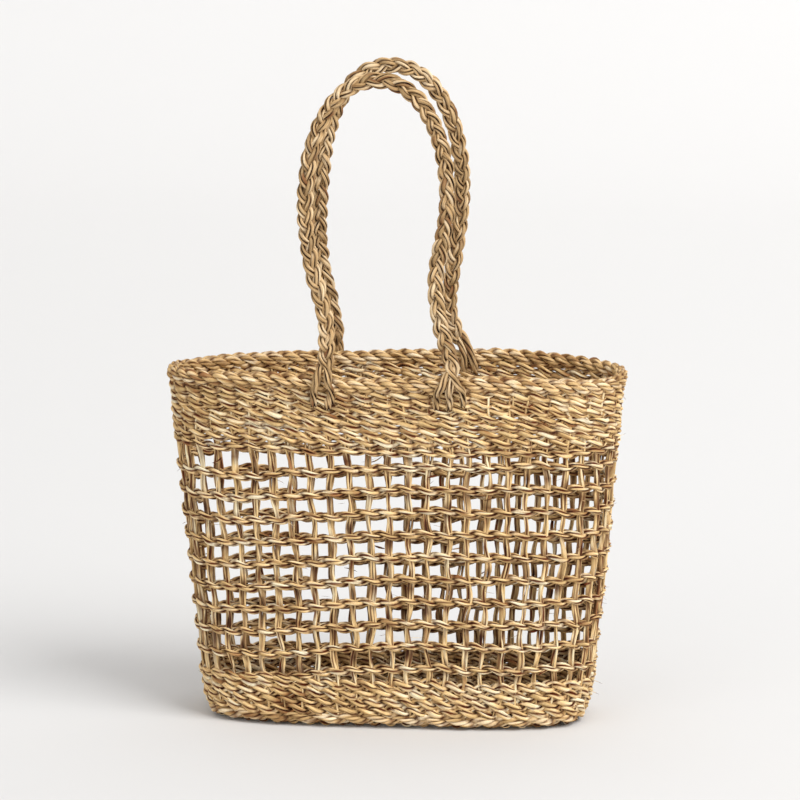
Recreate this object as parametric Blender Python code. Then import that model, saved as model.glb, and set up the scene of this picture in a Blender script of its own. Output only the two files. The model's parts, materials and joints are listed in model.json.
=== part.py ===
"""Seagrass storage basket: an open net of warp cords and twined courses, with two braided handles.

Metres, +Z up. The origin is on the floor, under the middle of the basket. +X runs along the basket's
length, and the front is -Y. Every course is one closed ring around the outside of the warp cords. Each
warp cord runs down one wall, across the base and up the opposite wall, so that it makes two stakes.
"""

import math

import bmesh
import bpy
import numpy as np
from mathutils import Vector

# ---- driving dimensions ----
BASKET_HEIGHT = 0.310
RIM_LENGTH = 0.400
RIM_WIDTH = 0.168
RIM_SQUARENESS = 2.5  # exponent of the outline's superellipse: 2 is a plain ellipse
RIM_FLARE = 0.0050  # how far the rim stands out past the wall below it
FLARE_HEIGHT = 0.027  # over this much of the wall
FOOT_LENGTH = 0.337
FOOT_WIDTH = 0.134
FOOT_SQUARENESS = 2.9

CLEARANCE = 0.0003  # between pieces that touch
ROW_DEPTH = 0.0045  # radial thickness of a course outside the warp cords
WARP_RADIUS = 0.0021
WARP_BEND = 0.0040  # radius of a warp cord's turn from the wall to the base
END_CORDS = 6  # warp cords that run lengthwise and rise in the two end walls
CROSS_CORDS = 21  # warp cords that run across and rise in the front and rear walls

FOOT_ROPE_HEIGHT = 0.0117
FOOT_ROPE_TUCK = 0.0030  # how far its lower edge draws in under the wall
LOWER_ROWS = 4
LOWER_ROW_HEIGHT = 0.0073
NET_COURSES = 11
NET_COURSE_HEIGHT = 0.0055
NET_TOP_GAP = 0.0030  # between the highest open course and the upper band
NET_LOW_GAP = 0.0014  # between the lowest open course and the lower band
UPPER_ROWS = 7
UPPER_ROW_HEIGHT = 0.0060
RIM_ROPE_HEIGHT = 0.0137
RIM_ROPE_PROUD = 0.0010  # how far the rim rope stands out of the wall on each side

MAT_UNDER_HEIGHT = 0.0030
MAT_INNER_HEIGHT = 0.0025

HANDLE_RADIUS = 0.0065
HANDLE_RISE = 0.264  # from the top of the rim to the top of the loops
HANDLE_WAIST = 0.101  # between the middles of a handle's two legs, where they come closest
HANDLE_BELLY = 0.123  # the same where they are widest apart
WAIST_RISE = 0.050  # height of the waist above the rim
BELLY_RISE = 0.148  # height of the belly above the rim
LOOP_LEAN = -0.012  # sideways lean of each loop's upper part
LOOP_SQUARENESS = 2.3  # exponent of the loop's round top
HANDLE_TOP_SPACING = 0.112  # between the tops of the two loops, front to rear
ANCHOR_SIDES_OUT = 3  # stakes between the middle of the wall and a handle's end
ANCHOR_WIDTH = 0.0150
ANCHOR_DEPTH = 0.0035
ANCHOR_REACH = 0.0260  # how far the split strands reach down from the top of the rim

# ---- sizes worked out from them ----
SHOULDER_HEIGHT = BASKET_HEIGHT - FLARE_HEIGHT
WARP_COUNT = END_CORDS + CROSS_CORDS
SIDES = 2 * WARP_COUNT  # straight sides of every ring, one for each stake
WARP_INSET = ROW_DEPTH + CLEARANCE + WARP_RADIUS
WALL_DEPTH = WARP_INSET + WARP_RADIUS
CROSS_Z = MAT_UNDER_HEIGHT + CLEARANCE + WARP_RADIUS
LENGTHWISE_Z = CROSS_Z + 2 * WARP_RADIUS + CLEARANCE
MAT_INNER_Z = LENGTHWISE_Z + WARP_RADIUS + CLEARANCE
MAT_INNER_INSET = WARP_INSET + WARP_BEND + WARP_RADIUS / 2
RIM_ROPE_Z = BASKET_HEIGHT - RIM_ROPE_HEIGHT
UPPER_BAND_TOP = RIM_ROPE_Z - CLEARANCE
UPPER_PITCH = UPPER_ROW_HEIGHT + CLEARANCE
UPPER_BAND_Z = UPPER_BAND_TOP - UPPER_ROWS * UPPER_PITCH + CLEARANCE
LOWER_BAND_Z = FOOT_ROPE_HEIGHT + CLEARANCE
LOWER_PITCH = LOWER_ROW_HEIGHT + CLEARANCE
LOWER_BAND_TOP = LOWER_BAND_Z + LOWER_ROWS * LOWER_PITCH - CLEARANCE
NET_TOP_Z = UPPER_BAND_Z - NET_TOP_GAP - NET_COURSE_HEIGHT
NET_LOW_Z = LOWER_BAND_TOP + NET_LOW_GAP
NET_PITCH = (NET_TOP_Z - NET_LOW_Z) / (NET_COURSES - 1)
ANCHOR_TOP = BASKET_HEIGHT + CLEARANCE + ANCHOR_DEPTH
LOOP_TOP_Z = BASKET_HEIGHT + HANDLE_RISE - HANDLE_RADIUS
LEAN_RISE = 0.7 * BELLY_RISE  # the loop has its whole lean from here up
HINGE_Z = ANCHOR_TOP + CLEARANCE + HANDLE_RADIUS
FRONT_MIDDLE = (3 * SIDES) // 4  # the side in the middle of the front wall
REAR_MIDDLE = SIDES // 4

# ---- colours of the dried seagrass ----
TWINE = (0.62, 0.44, 0.24)
ROPE = (0.66, 0.48, 0.27)
CORD = (0.58, 0.42, 0.22)
BRAID = (0.60, 0.43, 0.23)
ROUGHNESS = 0.85


# ---- the wall's shape ----
def superellipse(length, width, squareness, count):
    """Points spaced evenly round a superellipse, the first on its +X end."""
    turn = np.linspace(0, 2 * math.pi, 4001)
    cos, sin = np.cos(turn), np.sin(turn)
    x = length / 2 * np.sign(cos) * np.abs(cos) ** (2 / squareness)
    y = width / 2 * np.sign(sin) * np.abs(sin) ** (2 / squareness)
    run = np.concatenate([[0], np.cumsum(np.hypot(np.diff(x), np.diff(y)))])
    stops = np.linspace(0, run[-1], count, endpoint=False)
    return np.column_stack([np.interp(stops, run, x), np.interp(stops, run, y)])


FOOT = superellipse(FOOT_LENGTH, FOOT_WIDTH, FOOT_SQUARENESS, SIDES)
SHOULDER = superellipse(RIM_LENGTH - 2 * RIM_FLARE, RIM_WIDTH - 2 * RIM_FLARE, RIM_SQUARENESS, SIDES)
RIM = superellipse(RIM_LENGTH, RIM_WIDTH, RIM_SQUARENESS, SIDES)


def outward(outline):
    """The outward normal at each corner of a closed outline that runs anticlockwise."""
    along = np.roll(outline, -1, axis=0) - np.roll(outline, 1, axis=0)
    along /= np.linalg.norm(along, axis=1)[:, None]
    return np.column_stack([along[:, 1], -along[:, 0]])


def wall_outline(z):
    """The wall's outer face at height z: straight from foot to shoulder, then flared to the rim."""
    if z <= SHOULDER_HEIGHT:
        share = z / SHOULDER_HEIGHT
        return FOOT * (1 - share) + SHOULDER * share
    share = min(1, (z - SHOULDER_HEIGHT) / (BASKET_HEIGHT - SHOULDER_HEIGHT))
    return SHOULDER * (1 - share) + RIM * share


def wall_loop(z, inset):
    """The wall's outline at height z, moved in from its outer face by inset."""
    outline = wall_outline(z)
    outline = outline - inset * outward(outline)
    return [Vector((x, y, z)) for x, y in outline]


def stake_point(side, z, inset):
    """The middle of one straight side of the wall's outline, where a stake stands."""
    loop = wall_loop(z, inset)
    return (loop[side] + loop[(side + 1) % SIDES]) / 2


# ---- modelling helpers ----
def material(name, colour):
    made = bpy.data.materials.new(name)
    made.use_nodes = True
    shader = made.node_tree.nodes["Principled BSDF"]
    shader.inputs["Base Color"].default_value = (*colour, 1)
    shader.inputs["Roughness"].default_value = ROUGHNESS
    shader.inputs["Metallic"].default_value = 0
    return made


def add(name, data, colour):
    part = bpy.data.objects.new(name, data)
    bpy.context.scene.collection.objects.link(part)
    part.data.materials.append(material(name, colour))
    return part


def mesh_part(name, bm, colour):
    bmesh.ops.recalc_face_normals(bm, faces=bm.faces)
    mesh = bpy.data.meshes.new(name)
    bm.to_mesh(mesh)
    bm.free()
    return add(name, mesh, colour)


def ring(name, loops, colour):
    """A closed ring whose section has one corner on each of the loops."""
    bm = bmesh.new()
    corners = [[bm.verts.new(point) for point in loop] for loop in loops]
    for here, there in zip(corners, corners[1:] + corners[:1]):
        for i in range(SIDES):
            j = (i + 1) % SIDES
            bm.faces.new((here[i], here[j], there[j], there[i]))
    return mesh_part(name, bm, colour)


def tube(name, points, radius, shares, colour, resolution=2):
    """A round bar along a line of points, with closed ends. shares scale its radius at each point."""
    curve = bpy.data.curves.new(name, "CURVE")
    curve.dimensions = "3D"
    curve.bevel_depth = radius
    curve.bevel_resolution = resolution
    curve.use_fill_caps = True
    spline = curve.splines.new("POLY")
    spline.points.add(len(points) - 1)
    for made, point, share in zip(spline.points, points, shares):
        made.co = (*point, 1)
        made.radius = share
    return add(name, curve, colour)


# ---- the basket ----
def course(name, z, height, colour, tuck=0):
    """One twined course: a ring outside the warp cords. tuck draws its lower outer edge in."""
    return ring(
        name,
        [
            wall_loop(z, tuck),
            wall_loop(z + height, 0),
            wall_loop(z + height, ROW_DEPTH),
            wall_loop(z, ROW_DEPTH),
        ],
        colour,
    )


def rim_rope(colour):
    """The thick rope on top of the wall, six-sided, over both the courses and the warp cords' ends."""
    out, inner = -RIM_ROPE_PROUD, WALL_DEPTH + RIM_ROPE_PROUD
    quarter = (inner - out) / 4
    low, mid, top = RIM_ROPE_Z, RIM_ROPE_Z + RIM_ROPE_HEIGHT / 2, BASKET_HEIGHT
    return ring(
        "rim_rope",
        [
            wall_loop(mid, out),
            wall_loop(top, out + quarter),
            wall_loop(top, inner - quarter),
            wall_loop(mid, inner),
            wall_loop(low, inner - quarter),
            wall_loop(low, out + quarter),
        ],
        colour,
    )


def mat(name, z, height, inset, colour):
    """A flat oval layer of the twined base."""
    bm = bmesh.new()
    face = bm.faces.new([bm.verts.new(point) for point in wall_loop(z, inset)])
    risen = bmesh.ops.extrude_face_region(bm, geom=[face])
    rise = [v for v in risen["geom"] if isinstance(v, bmesh.types.BMVert)]
    bmesh.ops.translate(bm, verts=rise, vec=(0, 0, height))
    return mesh_part(name, bm, colour)


def warp_leg(side, cross_z, towards):
    """One stake, from under the rim down the wall, and its turn into the base in direction towards."""
    half_bend = WARP_BEND * (1 - math.sqrt(0.5))
    top = stake_point(side, UPPER_BAND_TOP, WARP_INSET)
    shoulder = stake_point(side, SHOULDER_HEIGHT, WARP_INSET)
    low = stake_point(side, cross_z + WARP_BEND, WARP_INSET)
    turn = low + towards * half_bend + Vector((0, 0, half_bend - WARP_BEND))
    flat = low + towards * WARP_BEND - Vector((0, 0, WARP_BEND))
    return [top, shoulder, low, turn, flat]


def warp_cord(name, first_side, second_side, cross_z, colour):
    """One cord: down one wall, straight across the base and up the opposite wall."""
    span = stake_point(second_side, 0, WARP_INSET) - stake_point(first_side, 0, WARP_INSET)
    towards = span.normalized()
    points = warp_leg(first_side, cross_z, towards) + warp_leg(second_side, cross_z, -towards)[::-1]
    tube(name, points, WARP_RADIUS, [1] * len(points), colour, 1)


def warp_cords(colour):
    """Cross cords lie under the lengthwise cords in the base."""
    per_end = END_CORDS // 2
    half = SIDES // 2
    for i in range(CROSS_CORDS):
        side = per_end + i
        warp_cord(f"cross_cord_{i + 1:02d}", side, SIDES - 1 - side, CROSS_Z, colour)
    for i in range(per_end):
        warp_cord(f"end_cord_rear_{i + 1}", i, half - 1 - i, LENGTHWISE_Z, colour)
        warp_cord(f"end_cord_front_{i + 1}", SIDES - 1 - i, half + i, LENGTHWISE_Z, colour)


# ---- the handles ----
def smooth(share):
    share = min(1, max(0, share))
    return share * share * (3 - 2 * share)


def anchor(name, side, colour):
    """A braid's split end straddling the rim: down the outer face, over the top and down inside."""
    outer = -(RIM_ROPE_PROUD + CLEARANCE)
    inner = WALL_DEPTH + RIM_ROPE_PROUD + CLEARANCE
    foot, crown = BASKET_HEIGHT - ANCHOR_REACH, BASKET_HEIGHT + CLEARANCE
    bevel = ANCHOR_DEPTH / 2
    section = [
        (outer, foot),
        (outer - ANCHOR_DEPTH, foot),
        (outer - ANCHOR_DEPTH, ANCHOR_TOP - bevel),
        (outer - ANCHOR_DEPTH + bevel, ANCHOR_TOP),
        (inner + ANCHOR_DEPTH - bevel, ANCHOR_TOP),
        (inner + ANCHOR_DEPTH, ANCHOR_TOP - bevel),
        (inner + ANCHOR_DEPTH, foot),
        (inner, foot),
        (inner, crown),
        (outer, crown),
    ]
    loop = wall_loop(BASKET_HEIGHT, 0)
    along = (loop[(side + 1) % SIDES] - loop[side]).normalized() * ANCHOR_WIDTH / 2
    bm = bmesh.new()
    ends = []
    for shift in (-along, along):
        ends.append([bm.verts.new(stake_point(side, z, inset) + shift) for inset, z in section])
    for i in range(len(section)):
        j = (i + 1) % len(section)
        bm.faces.new((ends[0][i], ends[0][j], ends[1][j], ends[1][i]))
    for end in ends:
        bm.faces.new(end)
    return mesh_part(name, bm, colour)


def leg_offset(rise, feet):
    """How far a handle's legs stand out from its middle, at a height above the rim, up to the belly."""
    waist, belly = HANDLE_WAIST / 2, HANDLE_BELLY / 2
    if rise < WAIST_RISE:
        return feet + (waist - feet) * smooth(rise / WAIST_RISE)
    return waist + (belly - waist) * smooth((rise - WAIST_RISE) / (BELLY_RISE - WAIST_RISE))


def lean(rise):
    return LOOP_LEAN * smooth(rise / LEAN_RISE)


def loop_line(feet):
    """(x, rise above the rim) of points along one handle, from its left foot at x = -feet to the right."""
    low = HINGE_Z - BASKET_HEIGHT
    top = LOOP_TOP_Z - BASKET_HEIGHT
    left, arch, right = [], [], []
    for rise in np.linspace(low, BELLY_RISE, 9):
        left.append((lean(rise) - leg_offset(rise, feet), rise))
        right.append((lean(rise) + leg_offset(rise, feet), rise))
    for angle in np.linspace(0, math.pi, 14)[1:-1]:
        cos, sin = math.cos(angle), math.sin(angle)
        power = 2 / LOOP_SQUARENESS
        x = -math.copysign(abs(cos) ** power, cos) * HANDLE_BELLY / 2
        rise = BELLY_RISE + (top - BELLY_RISE) * sin**power
        arch.append((lean(rise) + x, rise))
    return left + arch + right[::-1]


def round_end(start, towards, radius):
    """Points and radius shares of a half-round end, whose middle is at start."""
    angles = [math.radians(a) for a in (75, 45, 20)]
    points = [start - towards * radius * math.sin(a) for a in angles]
    return points, [math.cos(a) for a in angles]


def handle(word, direction, colour):
    """One braid. It turns about the line through its two round ends, so its origin lies on that."""
    middle = FRONT_MIDDLE if direction < 0 else REAR_MIDDLE
    foot = stake_point(middle + ANCHOR_SIDES_OUT, BASKET_HEIGHT, WALL_DEPTH / 2)
    slope = (direction * HANDLE_TOP_SPACING / 2 - foot.y) / (LOOP_TOP_Z - HINGE_Z)
    line = []
    for x, rise in loop_line(abs(foot.x)):
        z = BASKET_HEIGHT + rise
        line.append(Vector((x, slope * (z - HINGE_Z), z - HINGE_Z)))
    first, shares = round_end(line[0], (line[1] - line[0]).normalized(), HANDLE_RADIUS)
    last, _ = round_end(line[-1], (line[-2] - line[-1]).normalized(), HANDLE_RADIUS)
    points = first + line + last[::-1]
    radii = shares + [1] * len(line) + shares[::-1]
    braid = tube(f"{word}_handle_braid", points, HANDLE_RADIUS, radii, colour)
    braid.location = (0, foot.y, HINGE_Z)
    left_hand = -1 if direction < 0 else 1  # side numbers run anticlockwise, seen from above
    anchor(f"{word}_left_anchor", middle + left_hand * ANCHOR_SIDES_OUT, colour)
    anchor(f"{word}_right_anchor", middle - left_hand * ANCHOR_SIDES_OUT, colour)


def build():
    for old in list(bpy.data.objects):
        bpy.data.objects.remove(old)
    course("foot_rope", 0, FOOT_ROPE_HEIGHT, ROPE, FOOT_ROPE_TUCK)
    mat("base_mat_under", 0, MAT_UNDER_HEIGHT, ROW_DEPTH + CLEARANCE, TWINE)
    mat("base_mat_inner", MAT_INNER_Z, MAT_INNER_HEIGHT, MAT_INNER_INSET, TWINE)
    warp_cords(CORD)
    for i in range(LOWER_ROWS):
        course(f"lower_row_{i + 1}", LOWER_BAND_Z + i * LOWER_PITCH, LOWER_ROW_HEIGHT, TWINE)
    for i in range(NET_COURSES):
        course(f"net_course_{i + 1:02d}", NET_LOW_Z + i * NET_PITCH, NET_COURSE_HEIGHT, TWINE)
    for i in range(UPPER_ROWS):
        course(f"upper_row_{i + 1}", UPPER_BAND_Z + i * UPPER_PITCH, UPPER_ROW_HEIGHT, TWINE)
    rim_rope(ROPE)
    handle("front", -1, BRAID)
    handle("rear", 1, BRAID)


build()
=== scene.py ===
# %% [markdown]
# # A seagrass basket, strand by strand
# The real basket is made by hand from dried seagrass. Stiff warp cords stand up from the base, and pairs of
# strands are twined round them: one strand passes in front of a cord while the other passes behind it, and
# they swap places before the next cord. Rows packed tight make the bands at the top and the foot, and rows
# set apart make the net between them. Everything visible is one kind of thing, a strand that follows a path,
# so this script makes one good strand tool first and then lays every piece of the basket with it.

import functools
import json
import math

import bpy
import numpy as np
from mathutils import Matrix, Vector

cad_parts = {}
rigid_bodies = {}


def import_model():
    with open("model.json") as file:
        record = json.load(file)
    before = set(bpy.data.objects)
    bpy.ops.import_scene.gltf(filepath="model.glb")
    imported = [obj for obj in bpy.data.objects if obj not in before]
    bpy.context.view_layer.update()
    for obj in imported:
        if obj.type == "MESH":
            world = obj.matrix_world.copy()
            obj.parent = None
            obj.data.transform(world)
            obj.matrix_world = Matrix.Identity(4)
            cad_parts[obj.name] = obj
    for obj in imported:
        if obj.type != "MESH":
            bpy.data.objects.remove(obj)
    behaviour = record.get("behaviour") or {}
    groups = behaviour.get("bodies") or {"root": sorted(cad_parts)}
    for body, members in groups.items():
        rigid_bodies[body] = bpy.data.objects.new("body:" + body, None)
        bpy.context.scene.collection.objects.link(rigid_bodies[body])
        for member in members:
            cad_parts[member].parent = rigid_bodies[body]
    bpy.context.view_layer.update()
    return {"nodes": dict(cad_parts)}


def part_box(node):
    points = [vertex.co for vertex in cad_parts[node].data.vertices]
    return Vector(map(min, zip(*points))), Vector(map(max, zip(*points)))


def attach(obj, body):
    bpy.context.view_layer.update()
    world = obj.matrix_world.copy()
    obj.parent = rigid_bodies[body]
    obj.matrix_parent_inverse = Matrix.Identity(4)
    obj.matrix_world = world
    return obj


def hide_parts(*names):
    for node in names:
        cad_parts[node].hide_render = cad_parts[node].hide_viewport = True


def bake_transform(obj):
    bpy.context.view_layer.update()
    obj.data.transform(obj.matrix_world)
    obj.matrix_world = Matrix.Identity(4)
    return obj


for leftover in list(bpy.data.objects):
    bpy.data.objects.remove(leftover)
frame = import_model()
nodes = frame["nodes"]

# %% [markdown]
# ## Camera
# A product shot of a tall basket is taken from a little above the rim with a long lens, so that the mouth
# shows as a thin ellipse and the walls keep their shape. The camera stands slightly to the basket's right.

# %% The camera
CAMERA_TURN = math.radians(6)  # to the basket's right, seen from the front
CAMERA_DISTANCE = 4.1  # over the floor, from the middle of the basket
CAMERA_HEIGHT = 1.045
LOOKS_AT = (0.0013, 0.0, 0.2795)

camera = bpy.data.objects.new("camera", bpy.data.cameras.new("camera"))
bpy.context.scene.collection.objects.link(camera)
camera.location = (
    CAMERA_DISTANCE * math.sin(CAMERA_TURN),
    -CAMERA_DISTANCE * math.cos(CAMERA_TURN),
    CAMERA_HEIGHT,
)
sight = np.array(LOOKS_AT) - np.array(camera.location)
camera.rotation_euler = (
    math.atan2(math.hypot(sight[0], sight[1]), -sight[2]),
    0,
    math.atan2(-sight[0], sight[1]),
)
camera.data.sensor_width = 36
camera.data.lens = 215
camera.data.clip_end = 50
bpy.context.scene.camera = camera
print("camera to subject:", round(float(np.linalg.norm(sight)), 3), "m")

# %% [markdown]
# ## The wall's shape
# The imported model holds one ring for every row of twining, so the wall can be read off the rings' boxes: its
# half length and half width at each height. Between the two it is a superellipse, an ellipse with squarer
# shoulders. Points are spaced evenly along it, because a maker spaces the cords evenly too.

# %% Read the wall off the rings
ROWS = sorted((n for n in nodes if "row" in n or "course" in n), key=lambda n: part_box(n)[1].z)
TOPS = [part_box(n)[1].z for n in ROWS]
HALF_LENGTHS = [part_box(n)[1].x for n in ROWS]
HALF_WIDTHS = [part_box(n)[1].y for n in ROWS]
RIM_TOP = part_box("rim_rope")[1].z
FOOT_SQUARENESS = 3.5
RIM_SQUARENESS = 2.5
STAKES = 2 * sum("cord" in n for n in nodes)  # every warp cord stands up twice
STEPS = 8  # points of a path between two stakes
STATIONS = STAKES * STEPS
FINE_STEPS = 3001  # samples of a superellipse before its points are spaced evenly
print("rows:", len(ROWS), "stakes:", STAKES, "rim:", round(RIM_TOP, 4))


# %% Points round the wall
def superellipse(half_x, half_y, squareness, count):
    """Evenly spaced points round a superellipse from its +X end, and the outward direction at each."""
    turn = np.linspace(0, 2 * math.pi, FINE_STEPS)
    cos, sin = np.cos(turn), np.sin(turn)
    x = half_x * np.sign(cos) * np.abs(cos) ** (2 / squareness)
    y = half_y * np.sign(sin) * np.abs(sin) ** (2 / squareness)
    run = np.concatenate([[0], np.cumsum(np.hypot(np.diff(x), np.diff(y)))])
    stops = np.linspace(0, run[-1], count, endpoint=False)
    points = np.column_stack([np.interp(stops, run, x), np.interp(stops, run, y)])
    along = np.roll(points, -1, axis=0) - np.roll(points, 1, axis=0)
    along /= np.linalg.norm(along, axis=1)[:, None]
    return points, np.column_stack([along[:, 1], -along[:, 0]]), run[-1]


# the twining is springy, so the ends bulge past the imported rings, and the border draws them in at the foot
# height, how far each end bulges, and how far the whole ring shifts to the right
BULGES = (
    (0.000, -0.0060, 0.0),
    (0.012, -0.0020, 0.0),
    (0.024, 0.0010, 0.0),
    (0.050, 0.0030, 0.0),
    (0.150, 0.0042, 0.0003),
    (0.250, 0.0042, -0.0018),
    (0.310, 0.0020, -0.0016),
)


@functools.cache
def outline(z):
    """The wall's outer face at height z, with its outward directions and its length round."""
    heights, bulges, shifts = zip(*BULGES)
    half_x = np.interp(z, TOPS, HALF_LENGTHS) + np.interp(z, heights, bulges)
    half_y = np.interp(z, TOPS, HALF_WIDTHS)
    squareness = FOOT_SQUARENESS + (RIM_SQUARENESS - FOOT_SQUARENESS) * z / RIM_TOP
    points, outs, length = superellipse(half_x, half_y, squareness, STATIONS)
    return points + np.array([np.interp(z, heights, shifts), 0.0]), outs, length


def on_wall(z, share, inset):
    """The point at a share of the way round, at height z and inset from the outer face, and its outward."""
    points, outs, _ = outline(round(float(z), 3))
    place = share % 1 * STATIONS
    low, part = int(place), place % 1
    high = (low + 1) % STATIONS
    point = points[low] * (1 - part) + points[high] * part
    out = outs[low] * (1 - part) + outs[high] * part
    return np.array([*(point - inset * out), z]), np.array([*out, 0.0])


# %% [markdown]
# ## A hand's unevenness
# No row lies dead level. Each wander below is a sum of a few waves round the ring with seeded phases, so it
# closes on itself and is the same on every run. The phases climb slowly with height, so neighbouring rows
# move together, as they do when one row is pushed down on the next.

# %% Wander round a ring
def ease(share):
    """A smooth step from 0 to 1."""
    share = min(max(share, 0), 1)
    return share * share * (3 - 2 * share)


def wander(shares, z, reach, waves, seed, climb=12):
    """A sum of waves round the ring; climb is how fast their phases change with height."""
    dice = np.random.default_rng(seed)
    total = np.zeros(len(shares))
    for wave in waves:
        phase, rise, size = dice.uniform(0, 2 * math.pi), dice.uniform(-1, 1), dice.uniform(0.5, 1)
        total += size * np.sin(2 * math.pi * wave * shares + phase + rise * climb * z)
    return reach * total / math.sqrt(len(waves) / 2)


# how far the hand lifted the rim and the net: share of the way round from the right end, and millimetres
RIM_LIFTS = (
    (0.00, 1.0),
    (0.09, 1.0),
    (0.17, 5.5),
    (0.27, 0.5),
    (0.33, 2.5),
    (0.42, -2.0),
    (0.50, -3.5),
    (0.56, 3.5),
    (0.63, 6.0),
    (0.74, 4.0),
    (0.83, 7.0),
    (0.93, 0.5),
)
NET_LIFTS = (
    (0.00, 6.0),
    (0.08, 1.0),
    (0.20, -5.5),
    (0.32, -5.5),
    (0.43, -3.5),
    (0.58, -4.0),
    (0.63, -4.5),
    (0.68, 1.5),
    (0.73, 6.5),
    (0.79, 8.0),
    (0.84, 9.5),
    (0.92, 9.5),
)


BLUR_STEPS = (-2, -1, 0, 1, 2)
RIM_BLUR, NET_BLUR = 0.015, 0.008  # share of the way round between two blur steps
SLOW_REACH, SLOW_WAVES, SLOW_SEED = 0.0014, (2, 3, 5, 8), 5
FOOT_LEVEL = 0.05  # the slow wander grows to its full reach at this height
RIM_PULL, RIM_PULL_HEIGHT = 0.225, 0.075  # where the rim's lift begins, and how far up it is complete


def lifted(shares, lifts, blur):
    """The lift in metres at each share, rounded off between the places given."""
    places, heights = zip(*lifts)
    total = np.zeros(len(shares))
    for step in BLUR_STEPS:
        level = np.interp(shares + step * blur, places, heights, period=1)
        total += level / (1000 * len(BLUR_STEPS))
    return total


def sag(shares, z):
    """What neighbouring rows share: a slow wander at all heights, and the rim's lift in the rows near it."""
    slow = wander(shares, z, SLOW_REACH, SLOW_WAVES, SLOW_SEED) * ease(z / FOOT_LEVEL)
    return slow + lifted(shares, RIM_LIFTS, RIM_BLUR) * ease((z - RIM_PULL) / RIM_PULL_HEIGHT)


SHARES = np.arange(STATIONS) / STATIONS
print("widest shared wander:", round(float(np.abs(sag(SHARES, RIM_TOP)).max()), 4))


# %% [markdown]
# ## The strand tool
# Geometry Nodes lay the strands, because every piece repeats the same rule: a path, strands that circle it or
# plait along it, and leaves that circle each strand. The paths come in as a plain mesh of edges, and each
# point carries an attribute called out, the direction that faces away from the work. A twist has its strands
# circle the path once per turn. A plait lets them swing from side to side once and in and out twice.

# %% Helpers that build a node tree
SOCKETS = {int: "NodeSocketInt", float: "NodeSocketFloat", type(None): "NodeSocketMaterial"}


def new_tree(name, sizes, extra_outputs=()):
    tree = bpy.data.node_groups.new(name, "GeometryNodeTree")
    sockets = tree.interface
    sockets.new_socket("Geometry", in_out="INPUT", socket_type="NodeSocketGeometry")
    sockets.new_socket("Geometry", in_out="OUTPUT", socket_type="NodeSocketGeometry")
    for word, value in sizes.items():
        made = sockets.new_socket(word, in_out="INPUT", socket_type=SOCKETS[type(value)])
        if value is not None:
            made.default_value = value
    for word in extra_outputs:
        sockets.new_socket(word, in_out="OUTPUT", socket_type="NodeSocketFloat")
    return tree, tree.nodes.new("NodeGroupInput").outputs, tree.nodes.new("NodeGroupOutput").inputs


def add_node(tree, kind, inputs=(), **settings):
    """Adds a node. Its inputs are filled with another node's socket, or with a plain value."""
    made = tree.nodes.new(kind)
    for word, value in settings.items():
        setattr(made, word, value)
    for key, value in dict(inputs).items():
        if isinstance(value, bpy.types.NodeSocket):
            tree.links.new(value, made.inputs[key])
        else:
            made.inputs[key].default_value = value
    return made


def calc(tree, operation, *values, clamp=False):
    made = add_node(tree, "ShaderNodeMath", enumerate(values), operation=operation, use_clamp=clamp)
    return made.outputs[0]


def vector(tree, operation, first, second=None):
    inputs = {0: first}
    if second is not None:
        inputs["Scale" if operation == "SCALE" else 1] = second
    return add_node(tree, "ShaderNodeVectorMath", inputs, operation=operation).outputs[0]


def read(tree, name, kind):
    return add_node(tree, "GeometryNodeInputNamedAttribute", {"Name": name}, data_type=kind).outputs[0]


def store(tree, geometry, name, value, kind="FLOAT", domain="POINT"):
    inputs = {"Geometry": geometry, "Name": name, "Value": value}
    made = add_node(tree, "GeometryNodeStoreNamedAttribute", inputs, data_type=kind, domain=domain)
    return made.outputs[0]


# %% Strands that circle or plait along a path
LAY_SIZES = {
    "Strands": 2,
    "Turns": 27.0,  # over the whole path
    "Crossings": 1.0,  # swings in and out for each swing from side to side
    "Shift": 0.0,
    "Start": 0.0,
    "Out": 0.003,
    "Side": 0.002,
}


def lay_tree():
    tree, given, result = new_tree("lay_strands", LAY_SIZES, ("Pass",))
    copies = add_node(
        tree,
        "GeometryNodeDuplicateElements",
        {"Geometry": given["Geometry"], "Amount": given["Strands"]},
        domain="SPLINE",
    )
    factor = add_node(tree, "GeometryNodeSplineParameter").outputs["Factor"]
    tangent = add_node(tree, "GeometryNodeInputTangent").outputs[0]
    out = read(tree, "out", "FLOAT_VECTOR")
    side = vector(tree, "NORMALIZE", vector(tree, "CROSS_PRODUCT", out, tangent))
    facing = vector(tree, "CROSS_PRODUCT", tangent, side)
    turned = calc(tree, "MULTIPLY", given["Turns"], factor)
    share = calc(tree, "DIVIDE", copies.outputs["Duplicate Index"], given["Strands"])
    phase = calc(tree, "MULTIPLY", calc(tree, "ADD", turned, share), 2 * math.pi)
    phase = calc(tree, "ADD", phase, given["Start"])
    beat = calc(tree, "ADD", calc(tree, "MULTIPLY", phase, given["Crossings"]), given["Shift"])
    swing_out = calc(tree, "COSINE", beat)
    move_out = vector(tree, "SCALE", facing, calc(tree, "MULTIPLY", given["Out"], swing_out))
    move_side = vector(tree, "SCALE", side, calc(tree, "MULTIPLY", given["Side"], calc(tree, "SINE", phase)))
    kept = tree.nodes.new("GeometryNodeCaptureAttribute")
    kept.capture_items.new("FLOAT", "Pass")
    tree.links.new(copies.outputs["Geometry"], kept.inputs[0])
    tree.links.new(calc(tree, "ABSOLUTE", swing_out), kept.inputs[1])
    moved = add_node(
        tree,
        "GeometryNodeSetPosition",
        {"Geometry": kept.outputs[0], "Offset": vector(tree, "ADD", move_out, move_side)},
    )
    tree.links.new(moved.outputs[0], result["Geometry"])
    tree.links.new(kept.outputs[1], result["Pass"])
    return tree


LAY = lay_tree()
print("strand tree:", len(LAY.nodes), "nodes")

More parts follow.
